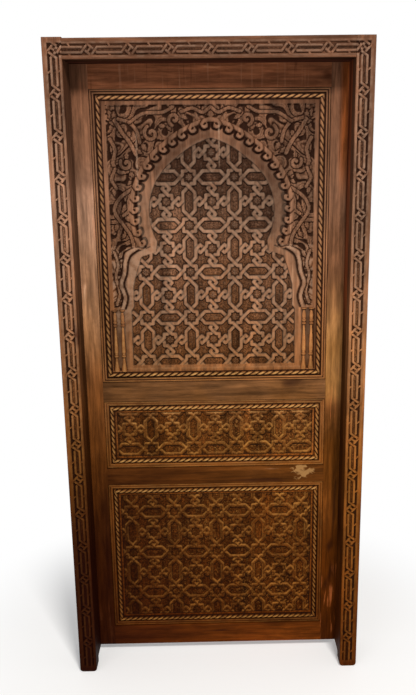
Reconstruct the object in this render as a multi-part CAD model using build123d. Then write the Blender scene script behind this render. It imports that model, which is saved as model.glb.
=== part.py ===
from build123d import *
import math
import os

os.makedirs("parts", exist_ok=True)

# Driving sizes in millimetres: X across the door, Y from front to back, Z up from the floor
FRAME_WIDTH = 960.0
FRAME_HEIGHT = 2070.0
FRONT_Y = -85.0
JAMB_FACE = 57.0
HEAD_FACE = 61.0
FACE_THICK = 50.0
REVEAL = 115.0
LEAF_THICK = 42.0
LEAF_BOTTOM = 28.0
LEAF_GAP = 3.0
REBATE = 14.0
LINING_INSET = 8.0

# Leaf framework: stiles, rails and the planted mouldings round each panel
MOULD_HALF = 354.0
ROPE_WIDE = 19.0
REED_WIDE = 16.0
ROPE_HIGH = 11.0
ROPE_BASE = 3.0
REED_HIGH = 6.0
TWIST_PITCH = 24.0
PANEL_SETBACK = 8.0
LEDGE_WIDE = 20.0
LEDGE_THICK = 10.0
TENON_THICK = 14.0
TENON_LONG = 40.0
TENON_SHOULDER = 8.0

# Outer edges of the rope mouldings, bottom and top, for each panel
TOP_SPAN = (1026.0, 1922.0)
MIDDLE_SPAN = (722.0, 928.0)
BOTTOM_SPAN = (118.0, 630.0)

# Strapwork: period across, period up, and the place of one large star
TOP_PATTERN = (144.0, 149.5, 72.0, 1523.0)
MIDDLE_PATTERN = (144.5, 143.0, 72.25, 769.5)
BOTTOM_PATTERN = (147.0, 154.5, 0.0, 228.0)
STRAP_HALF = 0.055
STAR_INRADIUS = 0.13
BLUNT_STAR = 1.25
CHIP_DEPTH = 9.0
SHALLOW_DEPTH = 6.0
FIELD_MARGIN = 13.0
SMALLEST_CHIP = 260.0

# Horseshoe arch on the top panel
ARCH_CENTRE_Z = 1566.0
ARCH_RADIUS = 236.0
ARCH_INNER = 198.0
ARCH_POINT = 27.0
ARCH_POINT_SPREAD = 35.0
ARCH_END = 118.0
ARCH_RECESS = 5.0
CURL_COUNT = 13
CURL_RISE = 6.0
ARCH_FOOT_Z = 1056.0
COLUMN_TOP_Z = 1253.0
COLUMN_NICHE = 331.0

# Colonnettes
COLUMN_RADIUS = 8.0
COLUMN_X = (297.0, 321.0)

# Braided border on the frame
KNOT_PITCH_JAMB = 120.0
KNOT_PITCH_HEAD = 115.0
KNOT_TOP_Z = 2036.0
BRAID_AXIS_X = 449.0
BRAID_HALF = 17.0
BRAID_DEPTH = 5.0

# Hinges on the back: lift-off knuckles, the lower one of each carrying the pin
HINGE_HEIGHTS = (260.0, 1010.0, 1780.0)
HINGE_AXIS_BACK = 7.0
KNUCKLE_RADIUS = 6.0
KNUCKLE_LONG = 50.0
KNUCKLE_SIDES = 8
PIN_LONG = 40.0
PIN_RADIUS = 3.0
PIN_CLEARANCE = 0.05
PLATE_WIDE = 30.0
PLATE_ROOT = 2.0
PLATE_THICK = 3.0
KNUCKLE_GAP = 0.5

# Places worked out from the sizes above
HALF_WIDTH = FRAME_WIDTH / 2
JAMB_IN = HALF_WIDTH - JAMB_FACE
HEAD_Z = FRAME_HEIGHT - HEAD_FACE
FACE_BACK = FRONT_Y + FACE_THICK
LEAF_FRONT = FRONT_Y + REVEAL
LEAF_BACK = LEAF_FRONT + LEAF_THICK
REBATE_X = JAMB_IN + REBATE
LEAF_HALF = REBATE_X - LEAF_GAP
LEAF_TOP = HEAD_Z + REBATE - LEAF_GAP
LINING_OUT = HALF_WIDTH - LINING_INSET
LINING_TOP = FRAME_HEIGHT - LINING_INSET
STOP_Y = LEAF_FRONT - 1.0
STILE_IN = MOULD_HALF + REED_WIDE
PANEL_FRONT = LEAF_FRONT + PANEL_SETBACK
LEDGE_FRONT = LEAF_BACK - LEDGE_THICK
LEDGE_IN = STILE_IN - LEDGE_WIDE
TENON_FRONT = LEAF_FRONT + 0.5 * (LEAF_THICK - LEDGE_THICK - TENON_THICK)
ROPE_IN = MOULD_HALF - ROPE_WIDE
HINGE_X = -0.5 * (LEAF_HALF + REBATE_X)
HINGE_Y = LEAF_BACK + HINGE_AXIS_BACK


def save(shape, name):
    shape.label = name
    export_step(shape, "parts/" + name + ".step")


def box(x0, x1, y0, y1, z0, z1):
    return Pos((x0 + x1) / 2, (y0 + y1) / 2, (z0 + z1) / 2) * Box(x1 - x0, y1 - y0, z1 - z0)


def loop(points):
    return Wire.make_polygon([Vector(*point) for point in points], close=True)


def flat(points, holes=()):
    return Face(loop(points), [loop(hole) for hole in holes])


def closed(faces):
    return Solid(Shell(faces))


def at_depth(outline, y):
    return [(x, y, z) for x, z in outline]


def mirrored(outline):
    return [(-x, z) for x, z in outline]


# Chip carving: every chip is a sunk pyramid cut inside an outline
def signed_area(outline):
    total = 0.0
    for (x0, z0), (x1, z1) in zip(outline, outline[1:] + outline[:1]):
        total += x0 * z1 - x1 * z0
    return total / 2


def fans_out(outline, apex):
    ax, az = apex
    turn = math.copysign(1.0, signed_area(outline))
    for (x0, z0), (x1, z1) in zip(outline, outline[1:] + outline[:1]):
        if turn * ((x0 - ax) * (z1 - az) - (x1 - ax) * (z0 - az)) < 1.0:
            return False
    return True


def middle_of(outline):
    return (sum(x for x, z in outline) / len(outline), sum(z for x, z in outline) / len(outline))


def trimmed(outline, fence):
    """Keep what lies inside a convex fence, given anticlockwise."""
    kept = list(outline)
    for (x0, z0), (x1, z1) in zip(fence, fence[1:] + fence[:1]):
        source, kept = kept, []
        for (px, pz), (qx, qz) in zip(source, source[1:] + source[:1]):
            p_side = (x1 - x0) * (pz - z0) - (z1 - z0) * (px - x0)
            q_side = (x1 - x0) * (qz - z0) - (z1 - z0) * (qx - x0)
            if p_side >= 0:
                kept.append((px, pz))
            if p_side * q_side < 0:
                share = p_side / (p_side - q_side)
                kept.append((px + share * (qx - px), pz + share * (qz - pz)))
    clean = []
    for point in kept:
        if not clean or math.dist(point, clean[-1]) > 0.5:
            clean.append(point)
    if len(clean) > 1 and math.dist(clean[0], clean[-1]) <= 0.5:
        clean.pop()
    return clean


def chip(outline, centre):
    """Pair an outline with the deepest point that sees all of it."""
    if len(outline) < 3 or abs(signed_area(outline)) < SMALLEST_CHIP:
        return None
    for apex in (centre, middle_of(outline)):
        if fans_out(outline, apex):
            return outline, apex
    return None


def chip_walls(chips, y, depth):
    walls = []
    for outline, apex in chips:
        low = (apex[0], y + depth, apex[1])
        ring = at_depth(outline, y)
        for start, end in zip(ring, ring[1:] + ring[:1]):
            walls.append(flat([start, end, low]))
    return walls


def rectangle(x0, x1, z0, z1):
    return [(x0, z0), (x1, z0), (x1, z1), (x0, z1)]


def band_walls(outline, y0, y1):
    front = at_depth(outline, y0)
    back = at_depth(outline, y1)
    pairs = zip(front, front[1:] + front[:1], back, back[1:] + back[:1])
    return [flat([a, b, d, c]) for a, b, c, d in pairs]


def carved_board(outline, y0, y1, chips, depth):
    faces = [flat(at_depth(outline, y0), [at_depth(ring, y0) for ring, apex in chips])]
    faces += chip_walls(chips, y0, depth)
    faces += band_walls(outline, y0, y1)
    faces.append(flat(at_depth(outline, y1)))
    return closed(faces)


# Strapwork on a square grid: large and small eight-point stars, long hexagons and the fields between
def star_outline():
    """Eight-point star with sharp tips."""
    inner = STAR_INRADIUS - STRAP_HALF
    points = []
    for step in range(16):
        radius = inner * (math.sqrt(2) if step % 2 == 0 else 1 / math.cos(math.pi / 8))
        angle = step * math.pi / 8
        points.append((radius * math.cos(angle), radius * math.sin(angle)))
    return points


def blunt_star_outline():
    """The same star with its points worn away to an octagon."""
    radius = BLUNT_STAR * (STAR_INRADIUS - STRAP_HALF)
    turns = [math.pi * step / 4 for step in range(8)]
    return [(radius * math.cos(turn), radius * math.sin(turn)) for turn in turns]


def hexagon_outline():
    side = STAR_INRADIUS - STRAP_HALF
    tip = 0.5 - STAR_INRADIUS * math.sqrt(2) - STRAP_HALF * math.sqrt(2)
    knee = tip - side
    return [(-tip, 0), (-knee, -side), (knee, -side), (tip, 0), (knee, side), (-knee, side)]


def field_outline():
    near = STAR_INRADIUS + STRAP_HALF - 0.25
    lobe = [(near, 0.077 - 0.25), (0.105, -0.060), (0.1725, 0.0655)]
    back = [(z, x) for x, z in reversed(lobe)]
    return [(near, near)] + lobe + [(-near, -near)] + back


def strapwork(pattern, columns, rows, star, fence):
    across, up, start_x, start_z = pattern
    hexagon, field = hexagon_outline(), field_outline()
    upright = [(-z, x) for x, z in hexagon]
    chips = []
    for column in columns:
        for row in rows:
            motifs = [(star, 0, 0), (star, 0.5, 0.5), (hexagon, 0.5, 0), (upright, 0, 0.5)]
            for side_x, side_z in ((1, 1), (-1, 1), (-1, -1), (1, -1)):
                turned = [(side_x * x, side_z * z) for x, z in field]
                motifs.append((turned, 0.25 * side_x, 0.25 * side_z))
            for shape, shift_x, shift_z in motifs:
                x0 = start_x + (column + shift_x) * across
                z0 = start_z + (row + shift_z) * up
                outline = [(x0 + x * across, z0 + z * up) for x, z in shape]
                if signed_area(outline) < 0:
                    outline.reverse()
                found = chip(fence(outline), (x0, z0))
                if found:
                    chips.append(found)
    return chips


# The horseshoe arch: a round bow drawn up to a point at the crown
def bow(radius, degrees):
    rise = max(0.0, 1 - degrees / ARCH_POINT_SPREAD) ** 1.3 * ARCH_POINT
    angle = math.radians(degrees)
    return (-(radius + rise) * math.sin(angle), ARCH_CENTRE_Z + (radius + rise) * math.cos(angle))


def curled_edge():
    """Left half of the carved arch edge, from the crown down to the foot of the niche."""
    points = []
    for curl in range(CURL_COUNT):
        start = ARCH_END * curl / CURL_COUNT
        step = ARCH_END / CURL_COUNT
        points.append(bow(ARCH_RADIUS, start))
        points.append(bow(ARCH_RADIUS + CURL_RISE, start + 0.3 * step))
        points.append(bow(ARCH_RADIUS + CURL_RISE, start + 0.8 * step))
    points += [bow(ARCH_RADIUS, ARCH_END), (-254, 1435), (-272, 1412), (-282, 1370)]
    points += [(-290, 1335), (-284, 1290), (-289, COLUMN_TOP_Z), (-COLUMN_NICHE, COLUMN_TOP_Z)]
    points.append((-COLUMN_NICHE, ARCH_FOOT_Z))
    return points


def arch_fences():
    left = [bow(ARCH_INNER, degrees) for degrees in range(0, 121, 15)]
    right = [(-x, z) for x, z in reversed(left[1:])]
    upper = left + right
    side = [(-266, 1330), (-250, 1380), (-230, 1424)]
    lower = [(-266, ARCH_FOOT_Z + 8)] + side
    lower = [(-x, z) for x, z in lower] + list(reversed(lower))
    return upper, lower


ARCH_UPPER, ARCH_LOWER = arch_fences()
ARCH_WAIST_Z = ARCH_UPPER[8][1]
ARCH_WAIST_X = 0.85 * abs(ARCH_UPPER[8][0])


def arch_fence(outline):
    lowest = min(z for x, z in outline)
    widest = max(abs(x) for x, z in outline)
    if lowest > ARCH_WAIST_Z:
        return trimmed(outline, ARCH_UPPER)
    if widest < ARCH_WAIST_X:
        return trimmed(outline, rectangle(-266, 266, ARCH_FOOT_Z + 8, FRAME_HEIGHT))
    return trimmed(outline, ARCH_LOWER)


def spandrel_chips():
    """Leaf-shaped chips of the scrolls beside and above the arch, left half, then mirrored."""
    leaves = [(-300, 1858, 40, 12, -40), (-262, 1800, 34, 11, -55), (-215, 1850, 34, 11, -15)]
    leaves += [(-150, 1862, 30, 10, -10), (-75, 1868, 30, 9, -5), (-300, 1740, 34, 11, 70)]
    leaves += [(-262, 1715, 26, 9, 60), (-300, 1640, 36, 10, 90), (-266, 1630, 28, 8, 85)]
    leaves += [(-300, 1545, 34, 10, 85), (-268, 1530, 26, 8, 100), (-298, 1455, 32, 10, 75)]
    leaves += [(-306, 1370, 32, 8, 85), (-312, 1300, 22, 7, 90), (-190, 1806, 22, 8, -35)]
    chips = []
    for x, z, long, wide, tilt in leaves:
        turn = math.radians(tilt)
        outline = []
        for along, aside in ((-1, 0), (-0.2, -1), (1, 0), (-0.2, 1)):
            u, v = along * long, aside * wide
            outline.append((x + u * math.cos(turn) - v * math.sin(turn), z + u * math.sin(turn) + v * math.cos(turn)))
        chips.append((outline, (x, z)))
        chips.append((mirrored(outline), (-x, z)))
    return chips


def panel_outline(span):
    return rectangle(-STILE_IN, STILE_IN, span[0] - REED_WIDE, span[1] + REED_WIDE)


def make_top_panel():
    left = curled_edge()
    opening = left + [(-x, z) for x, z in reversed(left[1:])]
    floor_y = PANEL_FRONT + ARCH_RECESS
    outline = panel_outline(TOP_SPAN)
    leaves = spandrel_chips()
    straps = strapwork(TOP_PATTERN, range(-3, 4), range(-4, 4), star_outline(), arch_fence)
    holes = [at_depth(opening, PANEL_FRONT)]
    holes += [at_depth(ring, PANEL_FRONT) for ring, apex in leaves]
    faces = [flat(at_depth(outline, PANEL_FRONT), holes)]
    faces += chip_walls(leaves, PANEL_FRONT, SHALLOW_DEPTH)
    faces += band_walls(opening, PANEL_FRONT, floor_y)
    faces.append(flat(at_depth(opening, floor_y), [at_depth(ring, floor_y) for ring, apex in straps]))
    faces += chip_walls(straps, floor_y, CHIP_DEPTH)
    faces += band_walls(outline, PANEL_FRONT, LEDGE_FRONT)
    faces.append(flat(at_depth(outline, LEDGE_FRONT)))
    return closed(faces)


def make_plain_panel(span, pattern, columns, rows, star, depth):
    side = ROPE_IN - FIELD_MARGIN
    low = span[0] + ROPE_WIDE + FIELD_MARGIN / 2
    high = span[1] - ROPE_WIDE - FIELD_MARGIN / 2
    fence = rectangle(-side, side, low, high)
    chips = strapwork(pattern, columns, rows, star, lambda outline: trimmed(outline, fence))
    return carved_board(panel_outline(span), PANEL_FRONT, LEDGE_FRONT, chips, depth)


# Rope and reed mouldings, mitred at the corners
def make_moulding(corner, along, outward, length):
    """One strip; corner is the inner end, along and outward are unit steps in X and Z."""

    def place(s, u, h):
        x = corner[0] + along[0] * s + outward[0] * u
        z = corner[1] + along[1] * s + outward[1] * u
        return (x, PANEL_FRONT - h, z)

    count = round(length / TWIST_PITCH)
    pitch = length / count
    middle = ROPE_WIDE / 2
    hip = 0.22 * pitch
    stops = [pitch * step for step in range(count + 1)]
    faces = []
    for start, end in zip(stops, stops[1:]):
        inner = [place(start, 0, ROPE_BASE), place(end, 0, ROPE_BASE)]
        outer = [place(start - ROPE_WIDE, ROPE_WIDE, ROPE_BASE), place(end - ROPE_WIDE, ROPE_WIDE, ROPE_BASE)]
        ridge = [place(start - middle + hip, middle, ROPE_HIGH), place(end - middle - hip, middle, ROPE_HIGH)]
        faces.append(flat([inner[0], inner[1], ridge[1], ridge[0]]))
        faces.append(flat([outer[0], outer[1], ridge[1], ridge[0]]))
        faces.append(flat([inner[0], outer[0], ridge[0]]))
        faces.append(flat([inner[1], outer[1], ridge[1]]))
    heel = [place(length, 0, ROPE_BASE), place(length - ROPE_WIDE, ROPE_WIDE, ROPE_BASE)]
    heel.append(place(length + ROPE_WIDE, ROPE_WIDE, ROPE_BASE))
    peak = place(length, 0.66 * ROPE_WIDE, 0.8 * ROPE_HIGH)
    for start, end in zip(heel, heel[1:] + heel[:1]):
        faces.append(flat([start, end, peak]))
    wide = ROPE_WIDE + REED_WIDE
    reed = REED_WIDE / 4
    profile = [(ROPE_WIDE, ROPE_BASE), (ROPE_WIDE + 1, REED_HIGH), (ROPE_WIDE + reed, REED_HIGH)]
    profile += [(ROPE_WIDE + 1.5 * reed, ROPE_BASE), (ROPE_WIDE + 2 * reed, REED_HIGH)]
    profile += [(ROPE_WIDE + 3 * reed, REED_HIGH), (wide - 1, ROPE_BASE), (wide, ROPE_BASE), (wide, 0), (0, 0)]
    bottom_of_reed = [place(s - ROPE_WIDE, ROPE_WIDE, ROPE_BASE) for s in stops]
    bottom_of_reed.append(place(length + ROPE_WIDE, ROPE_WIDE, ROPE_BASE))
    (u0, h0), (u1, h1) = profile[0], profile[1]
    faces.append(flat(bottom_of_reed + [place(length + u1, u1, h1), place(-u1, u1, h1)]))
    for (u0, h0), (u1, h1) in zip(profile[1:], profile[2:]):
        faces.append(flat([place(-u0, u0, h0), place(length + u0, u0, h0), place(length + u1, u1, h1), place(-u1, u1, h1)]))
    inside = [place(s, 0, ROPE_BASE) for s in stops]
    faces.append(flat(inside + [place(length, 0, 0), place(0, 0, 0)]))
    section = profile + [(0, ROPE_BASE)]
    faces.append(flat([place(-u, u, h) for u, h in section]))
    faces.append(flat([place(length + u, u, h) for u, h in section]))
    return closed(faces)


def save_mouldings(span, name):
    low, high = span[0] + ROPE_WIDE, span[1] - ROPE_WIDE
    wide, tall = 2 * ROPE_IN, high - low
    save(make_moulding((ROPE_IN, high), (-1, 0), (0, 1), wide), name + "_moulding_top")
    save(make_moulding((-ROPE_IN, low), (1, 0), (0, -1), wide), name + "_moulding_bottom")
    save(make_moulding((-ROPE_IN, high), (0, -1), (-1, 0), tall), name + "_moulding_left")
    save(make_moulding((ROPE_IN, low), (0, 1), (1, 0), tall), name + "_moulding_right")


# Framework of the leaf
RAILS = {
    "top_rail": (TOP_SPAN[1] + REED_WIDE, LEAF_TOP),
    "lock_rail": (MIDDLE_SPAN[1] + REED_WIDE, TOP_SPAN[0] - REED_WIDE),
    "middle_rail": (BOTTOM_SPAN[1] + REED_WIDE, MIDDLE_SPAN[0] - REED_WIDE),
    "bottom_rail": (LEAF_BOTTOM, BOTTOM_SPAN[0] - REED_WIDE),
}


def tenon(side, low, high, slack):
    x0, x1 = sorted((side * STILE_IN, side * (STILE_IN + TENON_LONG + slack)))
    y0 = TENON_FRONT - slack
    y1 = TENON_FRONT + TENON_THICK + slack
    return box(x0, x1, y0, y1, low + TENON_SHOULDER - slack, high - TENON_SHOULDER + slack)


def make_rail(low, high):
    ledge_low = max(low - LEDGE_WIDE, LEAF_BOTTOM)
    ledge_high = min(high + LEDGE_WIDE, LEAF_TOP)
    rail = box(-STILE_IN, STILE_IN, LEAF_FRONT, LEDGE_FRONT, low, high)
    rail += box(-LEDGE_IN, LEDGE_IN, LEDGE_FRONT, LEAF_BACK, ledge_low, ledge_high)
    for side in (-1, 1):
        rail += tenon(side, low, high, 0.0)
    return rail


def make_stile(side):
    x0, x1 = sorted((side * STILE_IN, side * LEAF_HALF))
    stile = box(x0, x1, LEAF_FRONT, LEAF_BACK, LEAF_BOTTOM, LEAF_TOP)
    x0, x1 = sorted((side * LEDGE_IN, side * STILE_IN))
    stile += box(x0, x1, LEDGE_FRONT, LEAF_BACK, LEAF_BOTTOM, LEAF_TOP)
    for low, high in RAILS.values():
        stile -= tenon(side, low, high, 0.2)
    return stile


# Half colonnettes standing in the niches, shaped with eight flats to the round
def make_colonnette(x):
    base = PANEL_FRONT + ARCH_RECESS
    tall = COLUMN_TOP_Z - ARCH_FOOT_Z
    steps = [(0.0, 1.2), (0.06, 1.2), (0.09, 0.7), (0.25, 0.9), (0.28, 1.1), (0.31, 0.85)]
    steps += [(0.66, 0.6), (0.69, 1.0), (0.72, 0.6), (0.88, 0.75), (1.0, 1.2)]
    rings = []
    for height, share in steps:
        radius = COLUMN_RADIUS * share
        turns = [math.pi * step / 4 for step in range(5)]
        z = ARCH_FOOT_Z + tall * height
        rings.append([(x + radius * math.cos(t), base - radius * math.sin(t), z) for t in turns])
    faces = [flat(rings[0]), flat(rings[-1])]
    for lower, upper in zip(rings, rings[1:]):
        for step in range(4):
            faces.append(flat([lower[step], lower[step + 1], upper[step + 1], upper[step]]))
    faces.append(flat([ring[0] for ring in rings] + [ring[-1] for ring in reversed(rings)]))
    return closed(faces)


# Frame timbers
def knot_chips(axis, centres, pitch, place):
    """Long link chips between knots and a small chip on both sides of every knot."""
    chips = []
    reach = pitch / 2 - 16
    for centre in centres:
        link = [(-reach, 0), (9 - reach, -6), (reach - 9, -6), (reach, 0), (reach - 9, 6), (9 - reach, 6)]
        spots = [(link, pitch / 2)]
        for side in (-1, 1):
            spots.append(([(-13, side * BRAID_HALF), (0, side * 7), (13, side * BRAID_HALF)], 0.0))
        for shape, shift in spots:
            outline = [place(centre + shift + s, axis + t) for s, t in shape]
            if signed_area(outline) < 0:
                outline.reverse()
            chips.append((outline, middle_of(outline)))
    return chips


def make_jamb(side):
    x0, x1 = sorted((side * JAMB_IN, side * HALF_WIDTH))
    centres = [KNOT_TOP_Z - KNOT_PITCH_JAMB * step for step in range(1, 17)]
    chips = knot_chips(side * BRAID_AXIS_X, centres, KNOT_PITCH_JAMB, lambda s, t: (t, s))
    jamb = carved_board(rectangle(x0, x1, 0, FRAME_HEIGHT), FRONT_Y, FACE_BACK, chips, BRAID_DEPTH)
    return jamb - head_tenon(side, 0.2)


def head_tenon(side, slack):
    x0, x1 = sorted((side * JAMB_IN, side * (JAMB_IN + 30.0 + slack)))
    y0, y1 = FRONT_Y + 17 - slack, FRONT_Y + 37 + slack
    return box(x0, x1, y0, y1, HEAD_Z + 12 - slack, FRAME_HEIGHT - 12 + slack)


def make_head():
    centres = [KNOT_PITCH_HEAD * step for step in range(-3, 3)]
    chips = knot_chips(HEAD_Z + 26.0, centres, KNOT_PITCH_HEAD, lambda s, t: (s, t))
    outline = rectangle(-JAMB_IN, JAMB_IN, HEAD_Z, FRAME_HEIGHT)
    head = carved_board(outline, FRONT_Y, FACE_BACK, chips, BRAID_DEPTH)
    for side in (-1, 1):
        head += head_tenon(side, 0.0)
    return head


def make_side_lining(side):
    x0, x1 = sorted((side * JAMB_IN, side * LINING_OUT))
    lining = box(x0, x1, FACE_BACK, LEAF_BACK, LEAF_BOTTOM, LINING_TOP)
    x0, x1 = sorted((side * JAMB_IN, side * REBATE_X))
    return lining - box(x0, x1, STOP_Y, LEAF_BACK, LEAF_BOTTOM, LINING_TOP)


def make_head_lining():
    lining = box(-JAMB_IN, JAMB_IN, FACE_BACK, STOP_Y, HEAD_Z, LINING_TOP)
    return lining + box(-REBATE_X, REBATE_X, STOP_Y, LEAF_BACK, LEAF_TOP + LEAF_GAP, LINING_TOP)


# Lift-off hinges screwed to the back faces
def knuckle(low, high):
    return Pos(HINGE_X, HINGE_Y, low) * extrude(RegularPolygon(KNUCKLE_RADIUS, KNUCKLE_SIDES), high - low)


def hinge_plate(side, low, high):
    x0, x1 = sorted((HINGE_X + side * PLATE_ROOT, HINGE_X + side * PLATE_WIDE))
    return box(x0, x1, LEAF_BACK, LEAF_BACK + PLATE_THICK, low, high)


def make_frame_hinge(z):
    low = z - KNUCKLE_LONG
    pin = Pos(HINGE_X, HINGE_Y, z + PIN_LONG / 2) * Cylinder(PIN_RADIUS, PIN_LONG)
    return hinge_plate(-1, low, z) + knuckle(low, z) + pin


def make_leaf_hinge(z):
    low, high = z + KNUCKLE_GAP, z + KNUCKLE_LONG
    hinge = hinge_plate(1, low, high) + knuckle(low, high)
    return hinge - Pos(HINGE_X, HINGE_Y, z) * Cylinder(PIN_RADIUS + PIN_CLEARANCE, 4 * KNUCKLE_LONG)


save(make_jamb(-1), "left_jamb")
save(make_jamb(1), "right_jamb")
save(make_head(), "head")
save(make_side_lining(-1), "left_lining")
save(make_side_lining(1), "right_lining")
save(make_head_lining(), "head_lining")
save(make_stile(-1), "hinge_stile")
save(make_stile(1), "lock_stile")
for rail_name, (rail_low, rail_high) in RAILS.items():
    save(make_rail(rail_low, rail_high), rail_name)
save(make_top_panel(), "top_panel")
middle = make_plain_panel(MIDDLE_SPAN, MIDDLE_PATTERN, range(-3, 3), range(0, 2), star_outline(), CHIP_DEPTH)
save(middle, "middle_panel")
bottom = make_plain_panel(
    BOTTOM_SPAN, BOTTOM_PATTERN, range(-3, 4), range(-1, 4), blunt_star_outline(), SHALLOW_DEPTH
)
save(bottom, "bottom_panel")
save_mouldings(TOP_SPAN, "top")
save_mouldings(MIDDLE_SPAN, "middle")
save_mouldings(BOTTOM_SPAN, "bottom")
save(make_colonnette(-COLUMN_X[1]), "left_outer_colonnette")
save(make_colonnette(-COLUMN_X[0]), "left_inner_colonnette")
save(make_colonnette(COLUMN_X[0]), "right_inner_colonnette")
save(make_colonnette(COLUMN_X[1]), "right_outer_colonnette")
for place_name, hinge_z in zip(("lower", "middle", "upper"), HINGE_HEIGHTS):
    save(make_frame_hinge(hinge_z), place_name + "_frame_hinge")
    save(make_leaf_hinge(hinge_z), place_name + "_leaf_hinge")
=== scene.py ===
import functools
import math

import bpy
import numpy as np
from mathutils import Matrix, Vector


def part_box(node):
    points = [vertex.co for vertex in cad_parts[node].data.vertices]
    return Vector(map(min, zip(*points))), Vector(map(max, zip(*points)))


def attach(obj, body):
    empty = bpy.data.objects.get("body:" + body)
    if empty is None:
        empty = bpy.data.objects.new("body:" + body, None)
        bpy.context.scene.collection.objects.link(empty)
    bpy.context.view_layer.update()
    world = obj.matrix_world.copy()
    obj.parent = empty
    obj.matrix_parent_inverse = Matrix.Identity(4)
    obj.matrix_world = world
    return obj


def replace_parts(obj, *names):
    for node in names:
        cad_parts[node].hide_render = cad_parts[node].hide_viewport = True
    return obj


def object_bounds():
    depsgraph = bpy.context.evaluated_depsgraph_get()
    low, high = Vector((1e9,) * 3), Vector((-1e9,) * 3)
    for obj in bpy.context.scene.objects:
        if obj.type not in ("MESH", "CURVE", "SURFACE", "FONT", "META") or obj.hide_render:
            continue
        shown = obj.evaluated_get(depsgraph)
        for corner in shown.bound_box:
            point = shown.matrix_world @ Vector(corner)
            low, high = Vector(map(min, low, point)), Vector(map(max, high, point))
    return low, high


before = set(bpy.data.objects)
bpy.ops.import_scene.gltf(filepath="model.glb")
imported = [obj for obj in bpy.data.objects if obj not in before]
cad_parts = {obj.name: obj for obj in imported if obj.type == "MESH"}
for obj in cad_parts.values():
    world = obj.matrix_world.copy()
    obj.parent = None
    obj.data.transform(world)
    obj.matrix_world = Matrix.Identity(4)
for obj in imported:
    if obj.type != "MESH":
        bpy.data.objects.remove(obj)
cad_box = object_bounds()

MM = 0.001
STEP = 2.55
FINE = 1.8


def box_mm(name):
    low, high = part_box(name)
    return [v / MM for v in low], [v / MM for v in high]


# Materials

def linear(r, g, b):
    out = []
    for v in (r, g, b):
        v = v / 255
        out.append(v / 12.92 if v <= 0.04045 else ((v + 0.055) / 1.055) ** 2.4)
    return (*out, 1.0)


class Graph:
    """Short names for adding shader nodes to a material or a world."""

    def __init__(self, owner):
        owner.use_nodes = True
        self.owner = owner
        self.nodes = owner.node_tree.nodes
        self.shader = self.nodes.get("Principled BSDF")
        self.place = self.add("TexCoord", {})["Object"]

    def fill(self, node, inputs):
        """Inputs of a node: plain values, or outputs of other nodes to join."""
        for key, value in inputs.items():
            if isinstance(value, bpy.types.NodeSocket):
                self.owner.node_tree.links.new(value, node.inputs[key])
            else:
                node.inputs[key].default_value = value

    def add(self, kind, inputs, **settings):
        node = self.nodes.new("ShaderNode" + kind)
        for key, value in settings.items():
            setattr(node, key, value)
        self.fill(node, inputs)
        return node.outputs

    def math(self, operation, first, second):
        return self.add("Math", {0: first, 1: second}, operation=operation)[0]

    def times(self, first, *others):
        for other in others:
            first = self.math("MULTIPLY", first, other)
        return first

    def span(self, value, low, high, out_low=0.0, out_high=1.0):
        ends = {"From Min": low, "From Max": high, "To Min": out_low, "To Max": out_high}
        return self.add("MapRange", {"Value": value, **ends}, interpolation_type="SMOOTHSTEP")["Result"]

    def mix(self, share, first, second, blend="MIX"):
        inputs = {"Factor": share, 6: first, 7: second}
        return self.add("Mix", inputs, data_type="RGBA", blend_type=blend)[2]

    def noise(self, scale, stretch, detail, roughness, distortion=0.0):
        place = self.add("Mapping", {"Vector": self.place, "Scale": stretch})["Vector"]
        kind = {"Detail": detail, "Roughness": roughness, "Distortion": distortion}
        return self.add("TexNoise", {"Vector": place, "Scale": scale, **kind})["Fac"]

    def attribute(self, name):
        return self.add("Attribute", {}, attribute_name=name)["Fac"]

    def ramp(self, value, stops):
        node = self.nodes.new("ShaderNodeValToRGB")
        self.fill(node, {"Fac": value})
        elements = node.color_ramp.elements
        while len(elements) < len(stops):
            elements.new(0.5)
        for element, (place, colour) in zip(elements, stops):
            element.position = place
            element.color = colour
        return node.outputs["Color"]

    def bump(self, height, strength, distance):
        return self.add("Bump", {"Height": height, "Strength": strength, "Distance": distance})["Normal"]


# Tone of the old wood by height, from the dark foot to the grey-brown top: partly the wood's own tone, partly
# painted shade that deepens towards the foot
TONES_WITH_SHADE = [
    (0.00, linear(75, 33, 5)), (0.14, linear(92, 45, 8)), (0.36, linear(114, 64, 22)),
    (0.55, linear(120, 75, 42)), (0.78, linear(126, 88, 65)), (1.00, linear(112, 72, 50)),
]
# The same for rubbed edges and painted highlights
WORN_TONES = [
    (0.00, linear(140, 84, 30)), (0.40, linear(166, 114, 54)), (0.62, linear(172, 138, 112)),
    (1.00, linear(170, 140, 118)),
]
# The same for the crowns of the ropes and columns, rubbed and with painted highlights
GILT_TONES = [
    (0.00, linear(168, 112, 50)), (0.40, linear(196, 148, 86)), (0.62, linear(190, 138, 82)),
    (1.00, linear(172, 124, 80)),
]
TALL = cad_box[1][2]
GRAIN = 0.06
EVEN = (1.0, 1.0, 1.0)


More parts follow.
